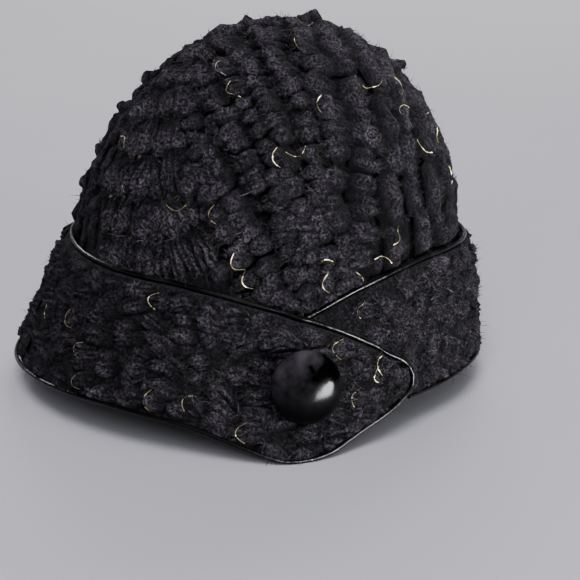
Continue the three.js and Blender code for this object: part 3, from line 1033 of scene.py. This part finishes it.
def tube(path, radius, sides):
    """A round tube along a path, closed at both ends."""
    along = unit(np.gradient(path, axis=0))
    first = unit(np.cross(along, [0.0, 0.0, 1.0]))
    second = np.cross(along, first)
    turns = whole_turn(sides)[None, :, None]
    ring = np.cos(turns) * first[:, None, :] + np.sin(turns) * second[:, None, :]
    points = path[:, None, :] + ring * np.reshape(radius, (-1, 1, 1))
    return points.reshape(-1, 3), closed_grid(len(path), sides)


def make_piping(material, ripple):
    path = piping_path()
    radius = PIPING_RADIUS * (1 + PIPING_UNEVEN * ripple(path))
    points, faces = tube(path, radius, PIPING_SIDES)
    piece = make_piece("piping_strip", points, faces, material)
    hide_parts("piping")


def button_profile():
    """The button's half outline, from the shank's foot to the middle of the dome."""
    edge = SHANK_LENGTH + BUTTON_EDGE
    flat = BUTTON_RADIUS - 2 * BUTTON_ROLL
    profile = [(PINHOLE, 0), (SHANK_RADIUS, 0), (SHANK_RADIUS, SHANK_LENGTH), (flat, SHANK_LENGTH)]
    profile += bend_up(flat, SHANK_LENGTH, 2 * BUTTON_ROLL, BUTTON_EDGE, BUTTON_ROLL_STEPS)
    for a in quarter_turn(BUTTON_DOME_STEPS):
        out = max(BUTTON_RADIUS * math.cos(a), PINHOLE)
        profile.append((out, edge + BUTTON_DOME * math.sin(a)))
    return np.array(profile)


def button_frame():
    """Where the button's shank stands on the band, and which way it faces."""
    angle = 360 + BUTTON_ANGLE
    out = band_normal(np.array([angle]), np.array([BUTTON_HEIGHT]))[0]
    return on_band(angle, BUTTON_HEIGHT) + out * BUTTON_LIFT, out


def make_button(material):
    profile = button_profile()
    seat, out = button_frame()
    side = unit(np.cross(out, [0.0, 0.0, 1.0]))
    above = np.cross(side, out)
    turns = whole_turn(BUTTON_SIDES)[:, None]
    ring = np.cos(turns) * side + np.sin(turns) * above
    points = seat + profile[:, 0][:, None, None] * ring[None] + profile[:, 1][:, None, None] * out
    faces = grid_faces(len(profile), BUTTON_SIDES, True)
    piece = make_piece("button_dome", points.reshape(-1, 3), faces, material)
    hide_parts("button")


# Fibres and threads.

def fibre_roots(puffs, points, faces, painted_shading, count):
    """Random spots on the raised outside of the puffs: place, normal, puff and painted shading share.
    """
    corners = points[faces]
    across = np.cross(corners[:, 2] - corners[:, 0], corners[:, 3] - corners[:, 1])
    owner = np.arange(len(faces)) // (len(faces) // len(puffs["length"]))
    raised = painted_shading[faces].mean(1)
    shown = np.maximum((across * puffs["out"][owner]).sum(1), 0)
    shown = shown * smoothstep(raised, *GROWS)
    pick = rng.choice(len(faces), count, p=shown / shown.sum())
    u, v = rng.random((2, count, 1))
    c = corners[pick]
    root = (c[:, 0] * (1 - u) + c[:, 1] * u) * (1 - v) + (c[:, 3] * (1 - u) + c[:, 2] * u) * v
    return root, unit(across[pick]), owner[pick], raised[pick]


def make_fuzz(name, puffs, points, faces, painted_shading, count, combed, material):
    """Loose fibres and a few hairs: thin tapering leaves that lie along their puffs, as combed."""
    root, normal, owner, shares = fibre_roots(puffs, points, faces, painted_shading, count)
    loose = random_directions(count)
    along = puffs["free"][owner] * combed
    lie = unit(normal * rng.uniform(*STANDING, (count, 1)) + loose * LOOSENESS + along)
    hair = rng.random((count, 1)) < HAIR_SHARE
    length = np.where(hair, HAIR_LENGTH, FIBRE_LENGTH)
    size = length * rng.gamma(LENGTH_SHAPE, 1 / LENGTH_SHAPE, (count, 1))
    half_width = np.where(hair, HAIR_HALF_WIDTH, FIBRE_HALF_WIDTH)
    width = unit(np.cross(lie, random_directions(count))) * half_width
    bend = root + lie * size * BEND_AT + random_directions(count) * size * BEND_JITTER
    tip = root + lie * size + random_directions(count) * size * TIP_JITTER
    leaf = [
        root - width - normal * ROOT_DEPTH,
        root + width - normal * ROOT_DEPTH,
        bend + width * BEND_WIDTH,
        bend - width * BEND_WIDTH,
        tip,
    ]
    strands = np.stack(leaf, 1)
    strands[:, :, 2] = np.maximum(strands[:, :, 2], 0)
    first = np.arange(count)[:, None] * len(leaf)
    parts = (first + [0, 1, 2, 3]).tolist() + (first + [3, 2, 4]).tolist()
    painted_shading = np.repeat(shares, len(leaf))
    make_piece(name, strands.reshape(-1, 3), parts, material, smooth=False, painted_shading=painted_shading)


def free_edge(puffs, k):
    """The line round a puff's free end, a little above its edge, and the way that it faces."""
    width, length = puffs["width"][k], puffs["length"][k]
    share = min(THREAD_SHARE, THREAD_SPAN / width)
    a = np.linspace(-share, share, THREAD_POINTS)
    out, free = puffs["out"][k], puffs["free"][k]
    sideways = np.cross(out, free)
    along = length * (THREAD_REACH - THREAD_DEPTH * np.abs(a) ** CORNER_POWER)
    return puffs["sewn"][k] + (a * width / 2)[:, None] * sideways + along[:, None] * free, out


def threaded_puffs(puffs, pixels):
    """The puffs whose free ends show nearest some pixels, and a few that the camera doesn't see."""
    tips = along_puffs(puffs, 1)
    facing = (puffs["out"] @ BACK) > FACING_FROM
    places = seen_at(tips)
    picked = set()
    free = facing.copy()
    for pixel in pixels:
        k = int(np.where(free, size_of(places - pixel), np.inf).argmin())
        picked.add(k)
        free &= size_of(tips - tips[k]) > THREAD_APART
    unseen = np.flatnonzero(~facing)
    hidden_count = int(len(unseen) * HIDDEN_THREAD_SHARE)
    picked.update(rng.choice(unseen, hidden_count, replace=False).tolist())
    return sorted(picked)


def laid_line(line, out, cover):
    """The line let down on the puffs and smoothed, without the points that would jump elsewhere."""
    laid = []
    for p in line:
        hit = cover.ray_cast(Vector(p + out * RAY_LENGTH), Vector(-out))[0]
        if hit and (not laid or size_of(np.array(hit) - laid[-1]) < THREAD_JUMP):
            laid.append(np.array(hit) + out * THREAD_LIFT)
    laid = np.array(laid)
    for _ in range(THREAD_SMOOTHING):
        laid[1:-1] = (laid[:-2] + 2 * laid[1:-1] + laid[2:]) / 4
    return laid


def make_threads(name, puffs, puff_points, puff_faces, pixels, material):
    """Twisted metal threads round the free ends of some puffs."""
    cover = BVHTree.FromPolygons(puff_points.tolist(), puff_faces.tolist())
    points, faces = [], []
    thick, thin = THREAD_TWIST
    for k in threaded_puffs(puffs, pixels):
        laid = laid_line(*free_edge(puffs, k), cover)
        if len(laid) < LEAST_POINTS:
            continue
        path = smooth_line(laid, THREAD_STEP)
        radius = np.where(np.arange(len(path)) % 2, thin, thick) * THREAD_RADIUS
        ring, quads = tube(path, radius, THREAD_SIDES)
        start = sum(len(p) for p in points)
        points.append(ring)
        faces += [[start + i for i in face] for face in quads]
    make_piece(name, np.vstack(points), faces, material)


# Materials.

class Paint:
    """A new material with its shader, and short ways to add nodes that lead to it."""

    def __init__(self, name):
        self.material = bpy.data.materials.new(name)
        self.material.use_nodes = True
        self.nodes = self.material.node_tree.nodes
        self.links = self.material.node_tree.links
        self.shader = self.nodes["Principled BSDF"]
        self.place = self.nodes.new("ShaderNodeTexCoord").outputs["Object"]

    def set(self, node, values):
        """Sets inputs of a node, each to a number, a colour or another node's output."""
        for name, value in values.items():
            if isinstance(value, bpy.types.NodeSocket):
                self.links.new(value, node.inputs[name])
            else:
                node.inputs[name].default_value = value

    def add(self, kind, values):
        node = self.nodes.new("ShaderNode" + kind)
        self.set(node, values)
        return node

    def noise(self, scale, detail, roughness=0.6):
        values = {"Vector": self.place, "Scale": scale, "Detail": detail, "Roughness": roughness}
        return self.add("TexNoise", values).outputs["Fac"]

    def ramp(self, source, stops):
        """A colour that changes with a source, from stops of a place and a colour or a grey."""
        node = self.add("ValToRGB", {"Fac": source})
        elements = node.color_ramp.elements
        elements[0].position = stops[0][0]
        elements[1].position = stops[-1][0]
        for place, _ in stops[1:-1]:
            elements.new(place)
        for element, (_, colour) in zip(elements, stops):
            element.color = (*colour, 1) if isinstance(colour, tuple) else (colour, colour, colour, 1)
        return node.outputs["Color"]

    def bump(self, height, strength, distance, before=None):
        values = {"Height": height, "Strength": strength, "Distance": distance}
        if before:
            values["Normal"] = before
        return self.add("Bump", values).outputs["Normal"]

    def multiply(self, first, second):
        node = self.nodes.new("ShaderNodeMix")
        node.data_type = "RGBA"
        node.blend_type = "MULTIPLY"
        self.set(node, {"Factor": 1.0, "A": first, "B": second})
        return node.outputs["Result"]

    def painted_shading(self, stops):
        """Painted shade and light: a tone that falls from the painted-light crests of the puffs to the
        painted-shade folds between them.
        """
        attribute = self.nodes.new("ShaderNodeAttribute")
        attribute.attribute_name = "painted_shading"
        return self.ramp(attribute.outputs["Fac"], stops)

    def pile(self):
        """Soft light and dark patches of the pile, small ones over broad ones."""
        small = self.noise(scale=190, detail=3)
        broad = self.noise(scale=85, detail=2, roughness=0.5)
        return self.multiply(self.ramp(small, SMALL_PATCHES), self.ramp(broad, BROAD_PATCHES))


def cloth_material(name, light, shading_tones, sheen):
    """Matted yarn: mottled near-black colour with painted shade in the folds and painted light on the
    crests of the puffs, a woolly surface and a soft sheen.
    """
    paint = Paint(name)
    mottle = paint.noise(scale=760, detail=4, roughness=0.75)
    colour = paint.ramp(mottle, [(0.45, CLOTH_DARK), (0.6, light)])
    mottled = paint.multiply(colour, paint.pile())
    curls = paint.nodes.new("ShaderNodeTexVoronoi")
    curls.feature = "SMOOTH_F1"
    paint.set(curls, {"Vector": paint.place, "Scale": 330, "Smoothness": 0.5})
    tufts = paint.noise(scale=800, detail=3, roughness=0.65)
    fibres = paint.noise(scale=2200, detail=4, roughness=0.7)
    lumps = paint.bump(curls.outputs["Distance"], 1.0, -0.0022)
    coarse = paint.bump(tufts, 1.0, 0.0026, lumps)
    paint.set(paint.shader, {
        # The colour is multiplied by painted shade and light from the painted shading share.
        "Base Color": paint.multiply(mottled, paint.painted_shading(shading_tones)),
        "Roughness": 0.95,
        "Specular IOR Level": 0.04,
        "Sheen Weight": sheen,
        "Sheen Roughness": 0.5,
        "Sheen Tint": SHEEN_TINT,
        "Normal": paint.bump(fibres, 1.0, 0.0008, coarse),
    })
    return paint.material


def fibre_material(name):
    """Loose fibres, each of its own tone: most are dark and a few are pale; painted shade darkens those
    in the folds and painted light brightens those on the crests.
    """
    paint = Paint(name)
    fibre = paint.nodes.new("ShaderNodeNewGeometry").outputs["Random Per Island"]
    clumps = paint.ramp(paint.noise(scale=620, detail=2), CLUMP_TONES)
    clumped = paint.multiply(paint.ramp(fibre, FIBRE_TONES), clumps)
    patched = paint.multiply(clumped, paint.pile())
    paint.set(paint.shader, {
        "Base Color": paint.multiply(patched, paint.painted_shading(FIBRE_PAINTED_SHADING_TONES)),
        "Roughness": 0.8,
        "Specular IOR Level": 0.2,
    })
    return paint.material


def gloss_material(name, painted_reflection, ior, roughness, crinkle):
    """A glossy black skin, faintly uneven, with a painted reflection: a cloudy grey painted on its
    upper parts.
    """
    paint = Paint(name)
    low, high = roughness
    # Painted reflection: cloudy grey patches, only on the upper parts.
    reflection_patches = paint.ramp(paint.noise(scale=55, detail=3), [(0.42, 0.0), (0.72, painted_reflection)])
    height = paint.add("SeparateXYZ", {"Vector": paint.place}).outputs["Z"]
    upper_share = paint.ramp(height, PAINTED_REFLECTION_BY_HEIGHT)
    smears = paint.noise(scale=60, detail=3)
    dents = paint.noise(scale=240, detail=2)
    paint.set(paint.shader, {
        "Base Color": paint.multiply(reflection_patches, upper_share),
        "IOR": ior,
        "Roughness": paint.ramp(smears, [(0.3, low), (0.75, high)]),
        "Normal": paint.bump(dents, crinkle, 0.0006),
    })
    return paint.material


def plain_material(name, tones, scale, detail, metallic, roughness):
    """A surface of one finish, whose colour varies a little from place to place."""
    paint = Paint(name)
    colour = paint.ramp(paint.noise(scale, detail), tones)
    paint.set(paint.shader, {"Base Color": colour, "Metallic": metallic, "Roughness": roughness})
    return paint.material


# Stage and light.

def make_floor():
    """A plain round floor that sweeps up into a low wall far from the hat."""
    profile = [(PINHOLE, 0.0), (FLOOR_RADIUS / 2, 0.0), (FLOOR_RADIUS, 0.0)]
    profile += bend_up(FLOOR_RADIUS, 0, FLOOR_BEND, FLOOR_BEND, BEND_STEPS)
    profile.append((FLOOR_RADIUS + FLOOR_BEND, WALL_HEIGHT))
    turns = whole_turn(FLOOR_SIDES)
    points = [(out * math.cos(t), out * math.sin(t), height) for out, height in profile for t in turns]
    faces = grid_faces(len(profile), FLOOR_SIDES, True)
    material = plain_material(
        "floor", FLOOR_TONES, scale=1.5, detail=2, metallic=0.0, roughness=0.9,
    )
    floor = linked("floor", make_mesh("floor", np.array(points), faces, material))


def make_light(name, place, target, size, power, colour, on_matt, on_gloss, roll=0):
    """A soft lamp aimed at a target, which may light matt surfaces, glossy ones or both."""
    data = bpy.data.lights.new(name, "AREA")
    data.shape = "ELLIPSE"
    data.size, data.size_y = size
    data.energy = power
    data.color = colour
    light = linked(name, data)
    light.visible_diffuse = on_matt
    light.visible_glossy = on_gloss
    light.visible_camera = False
    light.location = place
    aim = (Vector(target) - Vector(place)).to_track_quat("-Z", "Y").to_matrix()
    light.rotation_euler = (aim @ Matrix.Rotation(math.radians(roll), 3, "Z")).to_euler()


def make_world():
    world = bpy.data.worlds.new("world")
    world.use_nodes = True
    background = world.node_tree.nodes["Background"]
    for name, value in SKY.items():
        background.inputs[name].default_value = value
    bpy.context.scene.world = world


make_camera()
make_world()
for lamp in LAMPS:
    make_light(*lamp)
make_floor()

cloth = cloth_material("yarn_cloth", CROWN_LIGHT, CROWN_PAINTED_SHADING_TONES, sheen=0.05)
band_cloth = cloth_material("band_cloth", BAND_LIGHT, BAND_PAINTED_SHADING_TONES, sheen=0.04)
fibre = fibre_material("loose_fibre")
patent = gloss_material("patent_piping", PIPING_PAINTED_REFLECTION, ior=1.23, roughness=(0.18, 0.4), crinkle=0.7)
gloss = gloss_material("button_gloss", BUTTON_PAINTED_REFLECTION, ior=1.13, roughness=(0.08, 0.22), crinkle=0.06)
metal = plain_material(
    "metal_thread", THREAD_TONES, scale=1500, detail=1, metallic=1.0, roughness=0.28,
)

warp = make_warp(WARP_WAVELENGTH)
ripples = [make_ripple(wavelength) for wavelength in RIPPLE_WAVELENGTHS]
small_ripple = ripples[1]

crown = crown_puffs()
crown_points, crown_faces, crown_painted_shading = puff_mesh(crown, warp, ripples)
crown_points = settle_on_crown(crown_points)
to_back = crown["out"][:, 1] > BACK_FROM
for name, keep in (("crown_puffs_front", ~to_back), ("crown_puffs_back", to_back)):
    make_puff_piece(name, crown_points, crown_faces, crown_painted_shading, keep, cloth)
make_crown_cloth(cloth, small_ripple)

band = band_puffs()
band_points, band_faces, band_painted_shading = puff_mesh(band, warp, ripples)
band_angles = np.repeat(band["angle"], len(band_points) // len(band["angle"]))
band_points = settle_on_band(band_points, band_angles)
# The band's cloth is painted lighter or darker by angle round the hat: painted light and shade.
band_painted_shading = band_painted_shading * np.interp(band_angles, PAINTED_LIGHT_ANGLES, PAINTED_LIGHT_TONES)
make_piece("brim_puffs", band_points, band_faces, band_cloth, painted_shading=band_painted_shading)
make_band_cloth(band_cloth, small_ripple)

make_piping(patent, small_ripple)
make_button(gloss)

make_threads("crown_threads", crown, crown_points, crown_faces, CROWN_THREADS, metal)
make_threads("brim_threads", band, band_points, band_faces, BRIM_THREADS, metal)
make_fuzz("crown_fuzz", crown, crown_points, crown_faces, crown_painted_shading, *CROWN_FUZZ, fibre)
make_fuzz("brim_fuzz", band, band_points, band_faces, band_painted_shading, *BRIM_FUZZ, fibre)
